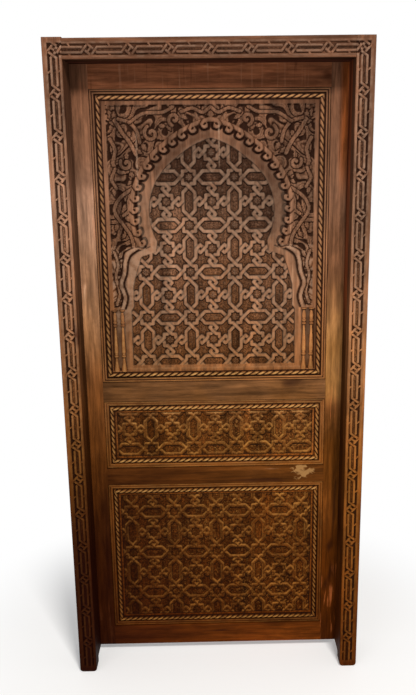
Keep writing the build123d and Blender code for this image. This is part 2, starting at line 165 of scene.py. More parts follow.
class Wood(Graph):
    """Aged waxed wood with its grain along one axis: its coordinates, its noises, and its tone so far."""

    def __init__(self, name, along, offset):
        super().__init__(bpy.data.materials.new(name))
        split = self.add("SeparateXYZ", {"Vector": self.place})
        self.across, self.depth, self.height = split["X"], split["Y"], split["Z"]
        self.up = self.math("DIVIDE", self.height, TALL)
        shift = (offset, 0.7 * offset, 1.3 * offset)
        self.place = self.add("Mapping", {"Vector": self.place, "Location": shift})["Vector"]
        self.grain = (1.0, 1.0, GRAIN) if along == "Z" else (GRAIN, 1.0, 1.0)
        self.bands = self.noise(26.0, self.grain, 3.0, 0.5, 0.6)
        self.streaks = self.noise(95.0, self.grain, 5.0, 0.6, 0.4)
        self.fibres = self.noise(420.0, self.grain, 3.0, 0.6)
        self.blotches = self.noise(5.0, (1.0, 1.0, 0.6), 4.0, 0.6, 0.4)
        self.tone = None

    def short_grain(self, least):
        return tuple(max(v, least) for v in self.grain)

    def cover(self, share, colour):
        self.tone = self.mix(share, self.tone, colour)

    def multiply(self, light, share=1.0):
        self.tone = self.mix(share, self.tone, light, "MULTIPLY")


def age(g, shade):
    """Tone by height, then painted light and shade by side and near the top, and lighter and darker along the
    grain.
    """
    wander = g.times(g.math("SUBTRACT", g.blotches, 0.5), 0.25)
    g.tone = g.ramp(g.math("ADD", g.up, wander), TONES_WITH_SHADE)
    # Painted light and shade: lighter on the right and darker on the left at waist height, darker on the
    # right near the top
    waist = g.times(g.span(g.height, 0.25, 0.75), g.span(g.height, 1.55, 1.15))
    sides = g.times(waist, g.span(g.across, -0.46, 0.46, -0.17, 0.27))
    upper_right_shade = g.times(g.span(g.height, 1.3, 1.8), g.span(g.across, -0.2, 0.46, 0.0, -0.16))
    patches = g.noise(20.0, g.short_grain(0.3), 5.0, 0.65, 0.8)
    g.multiply(g.math("ADD", g.math("ADD", sides, upper_right_shade), 1.0))
    g.multiply(g.span(g.bands, 0.28, 0.74, 0.68 * shade, 1.26 * shade))
    g.multiply(g.span(g.streaks, 0.28, 0.72, 0.62, 1.34))
    g.multiply(g.span(patches, 0.32, 0.68, 0.76, 1.22))
    g.multiply(g.span(g.fibres, 0.2, 0.8, 0.84, 1.14))


def streak(g, worn):
    """Long pale streaks where the finish has gone, thin dark checks and knots."""
    pale = g.times(g.span(g.streaks, 0.62, 0.74), g.span(g.blotches, 0.48, 0.68), worn)
    pale = g.times(pale, g.span(g.height, 0.5, 1.2, 0.35, 1.0))
    g.cover(pale, linear(190, 146, 112))
    g.cover(g.times(g.span(g.bands, 0.36, 0.29), 0.55), linear(44, 19, 10))
    knots = g.noise(12.0, g.short_grain(0.45), 2.0, 0.4, 0.3)
    g.cover(g.span(knots, 0.70, 0.78, 0.0, 0.75), linear(46, 20, 10))


def paint_light_stretch(g, side, rise, fall, colour):
    """A stretch with another colour: painted light where it is lighter, painted shade where it is darker."""
    tall = g.times(g.span(g.height, *rise), g.span(g.height, *fall))
    g.multiply((*colour, 1.0), g.times(tall, g.span(g.across, *side)))


def bare_patch(g, middle_x, middle_z, half_x, half_z):
    """A ragged bare patch, on the front only."""
    far_x = g.math("DIVIDE", g.math("SUBTRACT", g.across, middle_x), half_x)
    far_z = g.math("DIVIDE", g.math("SUBTRACT", g.height, middle_z), half_z)
    far = g.math("ADD", g.times(far_x, far_x), g.times(far_z, far_z))
    ragged = g.noise(38.0, (1.0, 0.2, 1.5), 5.0, 0.6, 0.6)
    inside = g.span(g.math("SUBTRACT", ragged, g.times(far, 0.16)), 0.34, 0.46, 0.0, 0.75)
    g.cover(g.times(inside, g.span(g.depth, 0.055, 0.045)), linear(168, 124, 74))


def drip(g, drips):
    """Runs of water from above, pale and dark."""
    run = g.noise(60.0, (1.0, 1.0, 0.05), 4.0, 0.6, 0.2)
    g.cover(g.span(run, 0.55, 0.72, 0.0, drips), linear(158, 112, 84))
    g.cover(g.span(run, 0.40, 0.30, 0.0, drips), linear(50, 22, 12))


def scuff(g, orange):
    """Orange streaks where fresh wood shows."""
    places = g.span(g.blotches, 0.54, 0.66, 0.0, orange)
    g.cover(g.times(g.span(g.streaks, 0.52, 0.64), places), linear(196, 108, 58))


def dirty_and_shaded(g, flecks):
    """Wax and dust mottled on the low grounds; dark along carved edges and in the hollows, dirt and painted
    shade.
    """
    specks = g.noise(210.0, EVEN, 3.0, 0.6, 0.8)
    ground = g.attribute("ground")
    g.multiply(g.span(specks, 0.36, 0.64, 0.20, 0.62 if flecks else 0.76), ground)
    if flecks:
        fleck(g, ground, flecks)
    g.cover(g.span(g.attribute("line"), 0.22, 0.80, 0.0, 0.94), linear(24, 10, 5))
    g.cover(g.span(g.attribute("dirt_and_shade"), 0.04, 1.0, 0.0, 0.92), linear(28, 12, 6))


def fleck(g, ground, flecks):
    """Coarse light and dark, with bright flecks on the grounds, most of them on the right."""
    coarse = g.noise(115.0, EVEN, 5.0, 0.7, 1.0)
    g.multiply(g.span(coarse, 0.36, 0.64, 0.50, 1.32))
    bright = g.span(g.noise(130.0, EVEN, 4.0, 0.7, 1.2), 0.53, 0.66, 0.0, flecks)
    bright = g.times(bright, g.span(g.blotches, 0.36, 0.60, 0.25, 1.0))
    bright = g.times(bright, g.span(g.across, -0.34, 0.05, 0.25, 1.0), ground)
    g.cover(bright, g.ramp(g.up, WORN_TONES))


def rub_and_highlight(g, edge, edge_tones):
    """Pale edges where hands and cloths have been, with breaks; on what stands out this is partly a painted
    highlight.
    """
    broken = g.span(g.noise(48.0, EVEN, 4.0, 0.6), 0.36, 0.60, 0.40, 1.0)
    g.cover(g.times(g.attribute("wear_and_highlight"), broken, edge), g.ramp(g.up, edge_tones))


def blacken(g, low_left_shade):
    """The left side near the floor is almost black, partly dark wood and partly painted shade."""
    dark = g.times(g.span(g.height, 1.05, 0.40), g.span(g.across, 0.30, -0.46), low_left_shade)
    g.cover(dark, linear(27, 3, 2))


def wood(name, along, shade=1.0, worn=0.5, offset=0.0, edge=0.8, flecks=0.0, edge_tones=WORN_TONES,
         low_left_shade=0.80, patch=None, drips=0.0, orange=0.0, tint=None, light_zones=()):
    g = Wood(name, along, offset)
    age(g, shade)
    streak(g, worn)
    for zone in light_zones:
        paint_light_stretch(g, *zone)
    if patch:
        bare_patch(g, *patch)
    if tint:
        g.multiply((*tint, 1.0))
    if drips:
        drip(g, drips)
    if orange:
        scuff(g, orange)
    dirty_and_shaded(g, flecks)
    rub_and_highlight(g, edge, edge_tones)
    blacken(g, low_left_shade)
    relief = g.math("ADD", g.times(g.streaks, 0.7), g.times(g.fibres, 0.3))
    g.fill(g.shader, {
        "Base Color": g.tone,
        "Roughness": g.span(g.streaks, 0.2, 0.8, 0.62, 0.46),
        "Specular IOR Level": 0.02,
        "Normal": g.bump(relief, 0.35, 0.0012),
    })
    return g.owner


def iron():
    g = Graph(bpy.data.materials.new("iron"))
    spots = g.noise(90.0, EVEN, 5.0, 0.65)
    stops = [(0.3, linear(46, 42, 40)), (0.55, linear(74, 66, 60)), (0.75, linear(104, 66, 44))]
    g.fill(g.shader, {
        "Base Color": g.ramp(spots, stops),
        "Roughness": g.span(spots, 0.3, 0.7, 0.42, 0.75),
        "Metallic": 0.75,
        "Normal": g.bump(spots, 0.25, 0.001),
    })
    return g.owner


# Stretches of the uprights with painted light and painted shade, lighter or darker: where each begins and
# ends across, where it begins and ends in height, both in metres, and its change of colour
LEFT, RIGHT, RIGHT_EDGE, IN_REVEAL = (-0.30, -0.36), (0.30, 0.36), (0.392, 0.412), (0.452, 0.444)
STILE_LIGHT_ZONES = (
    (LEFT, (1.00, 1.22), (1.78, 1.46), (2.1, 2.5, 2.9)),
    (RIGHT, (0.90, 0.98), (1.42, 1.08), (1.7, 2.1, 2.0)),
    (RIGHT, (0.55, 0.66), (0.95, 0.86), (0.6, 0.6, 0.5)),
    (RIGHT, (-0.02, -0.01), (0.52, 0.40), (0.8, 0.74, 0.5)),
    (RIGHT_EDGE, (1.55, 1.80), (2.10, 2.04), (1.6, 1.0, 0.5)),
)
JAMB_LIGHT_ZONES = (
    (LEFT, (1.06, 1.22), (1.80, 1.56), (1.55, 1.6, 1.7)),
    (RIGHT, (0.95, 1.05), (1.42, 1.20), (1.5, 1.6, 1.7)),
)
LINING_LIGHT_ZONES = (
    (IN_REVEAL, (0.36, 0.52), (1.34, 1.12), (0.40, 0.36, 0.32)),
    (IN_REVEAL, (1.12, 1.34), (2.20, 2.15), (1.55, 0.95, 0.70)),
)

UPRIGHT = wood("wood_upright", "Z", 1.0, 1.1, 0.0, orange=0.6, light_zones=STILE_LIGHT_ZONES)
TOP_LEVEL = wood("wood_top_rail", "X", 0.94, 0.7, 3.1, drips=0.45, tint=(1.16, 0.94, 0.78))
LOCK_LEVEL = wood("wood_lock_rail", "X", 0.80, 1.6, 4.3, tint=(0.83, 1.0, 1.28))
MIDDLE_LEVEL = wood("wood_middle_rail", "X", 0.66, 0.8, 5.2, patch=(0.296, 0.684, 0.036, 0.026))
BOTTOM_LEVEL = wood("wood_bottom_rail", "X", 1.75, 0.8, 5.9)
CARVED = wood("wood_carved", "Z", 1.0, 0.35, 6.4, 0.85)
CARVED_LOW = wood("wood_carved_low", "Z", 1.20, 0.2, 7.9, 1.0, 0.75, low_left_shade=0.54, tint=(1.02, 0.95, 0.82))
JAMB_WOOD = wood("wood_jamb", "Z", 0.92, 0.6, 9.7, 0.7, light_zones=JAMB_LIGHT_ZONES)
HEAD_WOOD = wood("wood_head", "X", 0.70, 0.5, 12.3, 0.45)
ROPE_UP = wood("wood_rope_upright", "Z", 0.95, 0.5, 15.2, 0.50, 0.0, GILT_TONES, 0.3)
ROPE_LEVEL = wood("wood_rope_level", "X", 0.95, 0.5, 18.9, 0.95, 0.0, GILT_TONES, 0.3)
COLUMN_WOOD = wood("wood_column", "Z", 1.55, 0.5, 17.3, 0.62, 0.0, GILT_TONES)
# The linings of the reveals are darkened copies of the wood, painted shade, the head's lining darkest
LINED = wood("wood_lining", "Z", 0.42, 0.3, 21.4)
LINED_RIGHT = wood("wood_lining_right", "Z", 0.62, 0.3, 23.1, light_zones=LINING_LIGHT_ZONES)
LINED_HEAD = wood("wood_lining_head", "X", 0.32, 0.2, 24.8, tint=(1.05, 0.72, 0.80))
IRON = iron()


# Meshes

def smooth(value, low, high):
    t = np.clip((value - low) / (high - low), 0.0, 1.0)
    return t * t * (3 - 2 * t)


def within(value, limit, soft):
    """1 below the limit by more than soft, 0 above it."""
    return smooth(limit - value, 0.0, soft)


def most(*values):
    return functools.reduce(np.maximum, values)


def blurred(values, cells):
    """Mean over a square window, by running sums down the columns and then along the rows."""
    wide = 2 * cells + 1
    for _ in range(2):
        total = np.cumsum(np.pad(values, ((cells + 1, cells), (0, 0)), mode="edge"), axis=0)
        values = ((total[wide:] - total[:-wide]) / wide).T
    return values


def laid(under, over, share):
    """One surface over another, as far as share goes from 0 to 1."""
    return under * (1 - share) + over * share


def stroke(value, middle, reach, full=1.0):
    """A line from 0 to 1 where value is near middle."""
    return np.clip(full - np.abs(value - middle) / reach, 0, 1)


def bell(value, middle, width):
    return np.exp(-(((value - middle) / width) ** 2))


def block_faces(rows, columns):
    """Quads of a grid, of the sides behind its rim, and the back face; and the rim's own points."""
    index = np.arange(rows * columns).reshape(rows, columns)
    corners = [index[:-1, :-1], index[:-1, 1:], index[1:, 1:], index[1:, :-1]]
    quads = np.stack(corners, axis=-1).reshape(-1, 4)
    rim = np.concatenate([index[0, :], index[1:, -1], index[-1, -2::-1], index[-2:0:-1, 0]])
    near = rows * columns + np.arange(len(rim))
    far = near + len(rim)
    sides = np.stack([near, far, np.roll(far, -1), np.roll(near, -1)], axis=-1)
    return quads, sides, far[::-1], rim


def add_piece(mesh, material, body):
    mesh.materials.append(material)
    obj = bpy.data.objects.new(mesh.name, mesh)
    bpy.context.collection.objects.link(obj)
    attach(obj, body)
    return obj


def faced_block(prefix, node, x, y, z, material, body, layers, shaded=None):
    """A carved face in place of a node, given as grids of points, with plain sides and the node's flat back.

    layers are values for the material at every point of the face; shaded gives the painted shade of the
    sides."""
    turned = (x[0, 1] - x[0, 0]) * (z[1, 0] - z[0, 0]) - (z[0, 1] - z[0, 0]) * (x[1, 0] - x[0, 0])
    if turned < 0:
        x, y, z = x[:, ::-1], y[:, ::-1], z[:, ::-1]
        layers = {label: values[:, ::-1] for label, values in layers.items()}
    quads, sides, back, rim = block_faces(*x.shape)
    front = np.stack([x.ravel(), y.ravel(), z.ravel()], axis=1)
    near = front[rim]
    far = near.copy()
    far[:, 1] = box_mm(node)[1][1]
    vertices = np.concatenate([front, near, far]) * MM

    mesh = bpy.data.meshes.new(f"{prefix}_{node}")
    faces = quads.tolist() + sides.tolist() + [back.tolist()]
    mesh.from_pydata(vertices.tolist(), [], faces)
    mesh.polygons.foreach_set("use_smooth", np.arange(len(faces)) < len(quads))
    for label, values in layers.items():
        layer = mesh.attributes.new(label, "FLOAT", "POINT")
        full = np.zeros(len(vertices), dtype=np.float32)
        full[: len(front)] = values.ravel()
        if shaded is not None and label == "dirt_and_shade":
            full[len(front):] = np.tile(shaded(near[:, 0], near[:, 2]), 2)
        layer.data.foreach_set("value", full)
    mesh.update()
    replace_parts(add_piece(mesh, material, body), node)


# Grid lines close to an edge, and where the even ones begin
CLOSE_LINES, EVEN_FROM = np.array([0.0, 0.5, 1.3]), 2.4


def lines(low, high, step):
    """Grid lines with close ones at both edges, for a softened arris."""
    low_inner, high_inner = low + EVEN_FROM, high - EVEN_FROM
    inner = np.linspace(low_inner, high_inner, max(2, round((high_inner - low_inner) / step) + 1))
    return np.concatenate([low + CLOSE_LINES, inner, high - CLOSE_LINES[::-1]])


def framed_lines(low, high, hidden, step):
    """Grid lines that are coarse under the mouldings and fine between them."""
    ends = np.linspace(0, hidden, 4)[:-1]
    inner = np.linspace(low + hidden, high - hidden, round((high - low - 2 * hidden) / step) + 1)
    return np.concatenate([low + ends, inner, high - ends[::-1]])


def arris(across, low, high, size):
    """How far the surface falls away in a rounded edge."""
    gap = np.minimum(across - low, high - across)
    t = np.clip(1 - gap / size, 0.0, 1.0)
    return size * 0.6 * t * t


def marks(relief, step, reach, gain):
    """Dirt with painted shade where a point lies under its surroundings, and wear with painted highlights
    where it lies over them, by how far.
    """
    away = relief - blurred(relief, max(1, round(reach / step)))
    return np.clip(-away * gain, 0.0, 1.0), np.clip(away * gain, 0.0, 1.0)


# Interlaced straps

# As shares of a repeat: half a strap when sharp and when worn, the star's inner radius, tip and notch,
# where the straps between stars turn and cross, and half the width of a knot
STRAP_HALF, WORN_HALF, STRAP_SOFT = 0.045, 0.029, 0.010
INRADIUS = 0.13
TIP = INRADIUS * math.sqrt(2)
NOTCH = TIP - INRADIUS
LINK_TURN, LINK_CROSS = 0.484, 0.146
KNOT = 0.085
STARS = [(0.0, 0.0), (0.5, 0.5)]
SIGNS = [(1, 1), (1, -1), (-1, 1), (-1, -1)]


def strap_edges():
    """Centre lines of the straps between crossings, for one repeat with its star at (0, 0)."""
    edges = []
    for cx, cy in STARS:
        for sx, sy in SIGNS:
            edge = [(TIP, 0), (INRADIUS, NOTCH), (INRADIUS, INRADIUS), (NOTCH, INRADIUS), (0, TIP)]
            edges.append([(cx + sx * px, cy + sy * py) for px, py in edge])
    for sx, sy in SIGNS:
        edge = [(TIP, 0), (TIP + INRADIUS, INRADIUS), (LINK_TURN, INRADIUS), (0.5, LINK_CROSS)]
        edges.append([(sx * px, sy * py) for px, py in edge])
        edges.append([(sx * py, sy * px) for px, py in edge])
    low, high = LINK_CROSS, 0.5 - TIP
    middle = (low + high) / 2
    for side in (1, -1):
        for turn in (1, -1):
            edges.append([(0.5, turn * low), (0.5 + side * KNOT, turn * middle), (0.5, turn * high)])
            edges.append([(turn * low, 0.5), (turn * middle, 0.5 + side * KNOT), (turn * high, 0.5)])
    return edges


def strap_level(end, toward):
    """Over or under at a crossing: +1 where this strap is the upper one."""
    rising = (toward[0] - end[0]) * (toward[1] - end[1]) > 0
    on_upright = abs(end[0] / 0.5 - round(end[0] / 0.5)) < 0.02
    return 1.0 if rising != on_upright else -1.0


def near_line(u, v, points):
    """Distance to a chain of segments, and how far along it the nearest point is, from 0 to 1."""
    lengths = [math.dist(a, b) for a, b in zip(points, points[1:])]
    gap, share = np.full(u.shape, np.inf), np.zeros_like(u)
    done = 0.0
    for (ax, ay), (bx, by), length in zip(points, points[1:], lengths):
        dx, dy = bx - ax, by - ay
        s = np.clip(((u - ax) * dx + (v - ay) * dy) / length**2, 0, 1)
        far = np.hypot(u - ax - s * dx, v - ay - s * dy)
        closer = far < gap
        gap = np.where(closer, far, gap)
        share = np.where(closer, (done + s * length) / sum(lengths), share)
        done += length
    return gap, share


def repeats(edge, reach):
    """The same line in this repeat and its neighbours, as far as it comes near."""
    for du in (-1, 0, 1):
        for dv in (-1, 0, 1):
            moved = [(x + du, y + dv) for x, y in edge]
            xs, ys = [p[0] for p in moved], [p[1] for p in moved]
            if max(xs) > -reach and min(xs) < 1 + reach and max(ys) > -reach and min(ys) < 1 + reach:
                yield moved


def strap_tables(size, wide, lift, groove):
    """Over one repeat: height of the straps, distance outside them, and distance from their visible edges."""
    place = (np.arange(size) + 0.5) / size
    u, v = np.meshgrid(place, place)
    height, nearest = np.zeros_like(u), np.full(u.shape, np.inf)
    upper_ends = {}
    for edge in strap_edges():
        first, last = strap_level(edge[0], edge[1]), strap_level(edge[-1], edge[-2])
        for line in repeats(edge, 0.2):
            gap, share = near_line(u, v, line)
            blend = 0.5 - 0.5 * np.cos(np.pi * share)
            level = 1 + lift * laid(first, last, blend)
            side = within(gap, wide + STRAP_SOFT, 2 * STRAP_SOFT)
            cut = 1 - groove * bell(gap, 0.0, 0.25 * wide)
            height = most(height, side * level * cut)
            nearest = np.minimum(nearest, gap)
            for end, upper in ((line[0], first), (line[-1], last)):
                if upper > 0:
                    key = (round(end[0], 4), round(end[1], 4))
                    upper_ends[key] = np.minimum(upper_ends.get(key, np.inf), gap)
    seam = np.abs(nearest - wide)
    for (cx, cy), gap in upper_ends.items():
        crossing = (np.hypot(u - cx, v - cy) < 2.0 * wide) & (nearest < wide)
        seam = np.where(crossing, np.minimum(seam, np.abs(gap - wide)), seam)
        seam = np.where(crossing & (gap < wide), np.abs(gap - wide), seam)
    return height, nearest - wide, seam


def sampled(table, u, v):
    """A table that repeats, read between its points."""
    size = len(table)
    x, y = (u % 1.0) * size - 0.5, (v % 1.0) * size - 0.5
    i, j = np.floor(x).astype(int), np.floor(y).astype(int)
    low, high = [laid(table[k % size, i % size], table[k % size, (i + 1) % size], x - i) for k in (j, j + 1)]
    return laid(low, high, y - j)


TABLE = 240
SHARP = strap_tables(TABLE, STRAP_HALF, 0.12, 0.06)
WORN = strap_tables(TABLE, WORN_HALF, 0.06, 0.0)


def fields(u, v):
    """Low carving in the grounds: a small rosette in each star and broken leafwork elsewhere."""
    out = 0.10 * np.sin(34 * u + 3 * np.sin(21 * v)) * np.sin(31 * v + 3 * np.sin(23 * u))
    for cx, cy in STARS:
        du, dv = (u - cx + 0.5) % 1.0 - 0.5, (v - cy + 0.5) % 1.0 - 0.5
        far = np.hypot(du, dv)
        petals = 0.5 + 0.5 * np.cos(8 * np.arctan2(dv, du))
        rosette = 0.42 * petals * smooth(far, 0.012, 0.035) * within(far, 0.085, 0.03)
        rosette = rosette + 0.40 * within(far, 0.016, 0.012)
        inside = within(far, 0.10, 0.02)
        out = laid(out, rosette, inside)
    return out


def worn_and_lit_edges(x, z, away, seam, across):
    """Rubbed edges of worn straps with a painted highlight, palest where they face up, and the dark line
    beside them, painted shade darkest where it faces down.
    """
    slope_z, slope_x = np.gradient(away)
    lit = 0.5 + 0.5 * slope_z / (np.hypot(slope_z, slope_x) + 1e-6)
    tops = np.clip(1.5 - seam * across / 2.0, 0, 1.4) * (0.10 + 0.90 * smooth(lit, 0.25, 0.85))
    wear = np.sin(x / 23 + 2 * np.sin(z / 31)) * np.sin(z / 19 + 2 * np.sin(x / 41))
    line = 0.9 * stroke(away * across, 3.6, 3.4) * (1.0 - 0.4 * lit)
    return tops * (0.68 + 0.40 * wear), line


def strapwork(x, z, tables, across, up, star_x, star_z, depth):
    """Carved field under the panel's face: height in millimetres, edge lines, bare ground and strap tops."""
    u, v = (x - star_x) / across, (z - star_z) / up
    straps, away, seam = [sampled(table, u, v) for table in tables]
    ground = smooth(away, 0.004, 0.030)
    rise = ground * (0.42 + 1.3 * fields(u, v))
    height = depth * (most(straps, rise) - 1.12)
    tops = 0.45 * smooth(-away, -0.002, 0.012)
    line = stroke(seam * across, 0.0, 4.6)
    if tables is WORN:
        tops, line = worn_and_lit_edges(x, z, away, seam, across)
        ground = most(ground, 0.85)
    height = height - 0.16 * depth * smooth(line, 0.35, 1.0)
    return height, line, ground, tops


# Spandrel leafwork

def spiral(cx, cz, radius, start, turns, hand=1):
    """A scroll that winds in to its eye."""
    t = np.linspace(0.0, 1.0, 26)
    angle = math.radians(start) + hand * turns * 2 * math.pi * t
    r = radius * (1 - 0.82 * t)
    return np.stack([cx + r * np.cos(angle), cz + r * np.sin(angle)], axis=1)


def curve(*points):
    """A smooth line through a few points."""
    p = np.array(points, dtype=float)
    p = np.concatenate([[2 * p[0] - p[1]], p, [2 * p[-1] - p[-2]]])
    t = np.linspace(0, 1, 8, endpoint=False)[:, None]
    pieces = []
    for a, b, c, d in zip(p, p[1:], p[2:], p[3:]):
        bend, twist = 2 * a - 5 * b + 4 * c - d, 3 * b - a - 3 * c + d
        pieces.append(0.5 * (2 * b + (c - a) * t + bend * t**2 + twist * t**3))
    return np.concatenate([*pieces, [p[-2]]])


# Stems on the left half, as points in millimetres and half width; the right half mirrors them
STEMS = [
    (curve((-296, 1846), (-273, 1808), (-251, 1779), (-234, 1744)), 6.0),
    (curve((-285, 1850), (-251, 1839), (-229, 1814), (-220, 1779)), 5.4),
    (curve((-238, 1645), (-282, 1617), (-304, 1588), (-304, 1560), (-282, 1528), (-258, 1490),
           (-250, 1448)), 5.4),
    (curve((-243, 1640), (-262, 1600), (-262, 1572), (-280, 1556)), 5.0),
    (curve((-312, 1790), (-298, 1756), (-306, 1716), (-286, 1690), (-262, 1692)), 5.6),
    (curve((-300, 1700), (-312, 1668), (-298, 1640)), 5.0),
    (curve((-251, 1839), (-206, 1866), (-150, 1868), (-116, 1884)), 5.0),
    (curve((-90, 1870), (-56, 1880), (-24, 1868), (0, 1884)), 5.0),
    (curve((-314, 1440), (-303, 1400), (-312, 1360), (-302, 1310), (-312, 1270)), 4.4),
    (spiral(-184, 1806, 24, 120, 1.1), 5.4),
    (spiral(-112, 1848, 20, 250, 1.0, -1), 5.2),
    (spiral(-264, 1716, 20, 150, 1.0), 5.2),
]

# Leaves: root x, root z, length, half width, direction in degrees
LEAVES = [
    (-290, 1840, 46, 12, 126), (-296, 1846, 30, 8, 95), (-286, 1834, 30, 8, 165), (-238, 1760, 30, 8, 330),
    (-214, 1776, 28, 8, 300), (-252, 1812, 22, 7, 260), (-300, 1752, 26, 7, 250), (-262, 1748, 26, 7, 265),
    (-160, 1830, 26, 7, 350), (-205, 1862, 26, 7, 20), (-134, 1832, 24, 7, 300), (-92, 1860, 26, 7, 330),
    (-40, 1872, 24, 8, 335), (0, 1850, 36, 10, 90), (-296, 1690, 22, 6, 60), (-255, 1690, 24, 7, 310),
    (-308, 1640, 26, 7, 280), (-250, 1662, 20, 6, 215), (-300, 1530, 26, 7, 255), (-276, 1500, 24, 7, 235),
    (-290, 1440, 26, 7, 250), (-305, 1395, 26, 6, 280), (-305, 1330, 26, 6, 265), (-305, 1296, 26, 6, 280),
]


def foliage(x, z):
    """Flowing leaf blades side by side, each with a vein, that part here and there into dark gaps."""
    flow = np.sin(0.058 * x + 1.3) * np.cos(0.050 * z) + 0.8 * np.sin(0.043 * x - 0.069 * z + 0.6)
    flow = 15 * (flow + 0.55 * np.cos(0.088 * x + 0.031 * z)) + 0.3 * (x - z)
    share = (flow / 28.0) % 1.0
    edge = np.minimum(share, 1 - share)
    parted = 0.11 + 0.22 * smooth(np.sin(0.083 * x + 0.4) * np.sin(0.078 * z + 1.0), 0.0, 0.8)
    blade = smooth(edge, parted - 0.05, parted + 0.06)
    veins = bell(share, 0.38, 0.05) + bell(share, 0.62, 0.05)
    return 0.95 * blade * (1 - 0.45 * veins)


def add_leaf(height, x, z, root_x, root_z, length, half, turn):
    """One lobed leaf with a vein, cut free of what is around it."""
    near = np.hypot(x - root_x, z - root_z) < length + 6
    c, s = math.cos(math.radians(turn)), math.sin(math.radians(turn))
    dx, dz = x[near] - root_x, z[near] - root_z
    t = (dx * c + dz * s) / length
    w = np.abs(dz * c - dx * s)
    width = half * np.sqrt(np.clip(t, 0, 1)) * (1 - np.clip(t, 0, 1)) * 2.6
    width = width * (1 + 0.18 * np.cos(t * 22))
    blade = smooth(width - w, -0.6, 2.0) * (t > 0) * (t < 1)
    vein = 1 - 0.35 * bell(w, 0.0, 1.4)
    around = 1 - 0.9 * within(w, width + 3.6, 1.6) * (t > -0.05) * (t < 1.1)
    height[near] = most(height[near] * around, 0.95 * blade * vein)


def add_stem(height, x, z, line, half):
    """One round stem with a groove along it, between two trenches."""
    low, high = line.min(axis=0) - half - 3, line.max(axis=0) + half + 3
    near = (x > low[0]) & (x < high[0]) & (z > low[1]) & (z < high[1])
    gap = near_line(x[near], z[near], line)[0]
    bead = within(gap, half + 1.0, 2.6) * (1 - 0.34 * bell(gap, 0.0, 1.6))
    trench = 1 - 0.85 * within(gap, half + 3.6, 1.6) * (gap > half)
    height[near] = most(height[near] * trench, bead)


def leafwork(x, z):
    """Height 0 to 1 of the stems, scrolls and leaves in the spandrels."""
    x = -np.abs(x)
    height = foliage(x, z)
    for leaf in LEAVES:
        add_leaf(height, x, z, *leaf)
    for line, half in STEMS:
        add_stem(height, x, z, line, half)
    return height


# Panels

# Sizes and heights in millimetres: the rope and reeds round each, then the arch and its parts
ROPE_WIDE, REED_WIDE = 19.0, 16.0
INSET = ROPE_WIDE + REED_WIDE
MARGIN, LOW_MARGIN, HIDDEN = 13.0, 6.0, 33.0
# Strapwork of each panel: width and height of a repeat, place of one star, depth
PATTERNS = {
    "top": (144.0, 149.5, 72.0, 1523.0, 9.0),
    "middle": (144.5, 143.0, 72.25, 769.5, 6.0),
    "bottom": (147.0, 154.5, 0.0, 228.0, 5.0),
}
ARCH_Z, ARCH_RADIUS, ARCH_INNER = 1566.0, 236.0, 198.0
ARCH_POINT, ARCH_SPREAD = 27.0, 35.0
ARCH_END, CURLS = 118.0, 14
BAND_FACE, GROUND_FACE, TRENCH_FACE, LEAF_FACE = -5.0, -7.5, -7.0, 0.2
BAND_HALF = 19.0
COLUMN_FOOT, BORDER_FOOT, STRAPS_FOOT = 1046.0, 1056.0, 1064.0
NICHE_IN, NICHE_OUT, NICHE_TOP = 286.0, 334.0, 1250.0
SHOULDER_FOOT, SHOULDER_OUT = 1253.0, 331.0
RIB_IN, RIB_OUT, TRENCH_OUT = 6.4, 19.5, 23.5
# Lobes of the running scroll, its stem and its drilled eyes
LOBE_HALF, LOBE_MIDDLE, LOBE_REACH, LOBE_ROUND = 10.3, 5.5, 11.2, 2.6
LOBE_GAP, LOBE_LINE = -0.24, 0.25833
STEM_IN, STEM_OUT, SCROLL_OUT = 11.0, 26.5, 28.0
EYE_OUT, EYE_RADIUS = 9.0, 5.0
# Pale joints between the boards: place across, where each begins and ends in height
BOARD_JOINTS = (
    (-231.0, (1490, 1530), (1820, 1780)),
    (25.0, (1690, 1730), (1850, 1820)),
)
# Edge of the arch's shoulder and of the straps within, as height and distance from the middle
SHOULDER_LINE = curve(
    (1253.5, 282), (1270, 276), (1293, 272), (1315, 277), (1337, 283), (1370, 272), (1410, 266),
    (1432, 251), (1456, 208),
)
SHOULDER_Z = np.concatenate([[BORDER_FOOT, SHOULDER_FOOT], SHOULDER_LINE[:, 0]])
SHOULDER_X = np.concatenate([[SHOULDER_OUT, SHOULDER_OUT], SHOULDER_LINE[:, 1]])
SHOULDER_SLOPE = np.gradient(SHOULDER_LINE[:, 1], SHOULDER_LINE[:, 0])
SHOULDER_TILT = np.concatenate([[1, 1], 1 / np.hypot(1, SHOULDER_SLOPE)])
SHOULDER_TOP = SHOULDER_Z[-1]
FENCE_Z = [STRAPS_FOOT, 1250, 1262, 1330, 1380, 1424, 1440, 1473]
FENCE_X = [266, 266, 257, 257, 243, 228, 180, 175]


def arch_offsets(x, z):
    """Distance outside the arch's outer edge, its inner edge and its round alone; angle from the crown."""
    far = np.hypot(x, z - ARCH_Z)
    angle = np.degrees(np.arctan2(np.abs(x), z - ARCH_Z))
    rise = np.clip(1 - angle / ARCH_SPREAD, 0, 1) ** 1.3 * ARCH_POINT
    ring = far - ARCH_RADIUS - rise
    beside = (np.abs(x) - np.interp(z, SHOULDER_Z, SHOULDER_X)) * np.interp(z, SHOULDER_Z, SHOULDER_TILT)
    outer = np.where(z < SHOULDER_TOP, beside, ring)
    past_fence = np.abs(x) - np.interp(z, FENCE_Z, FENCE_X)
    inner = np.where(z < FENCE_Z[-1], past_fence, far - ARCH_INNER - rise)
    return outer, inner, ring, angle


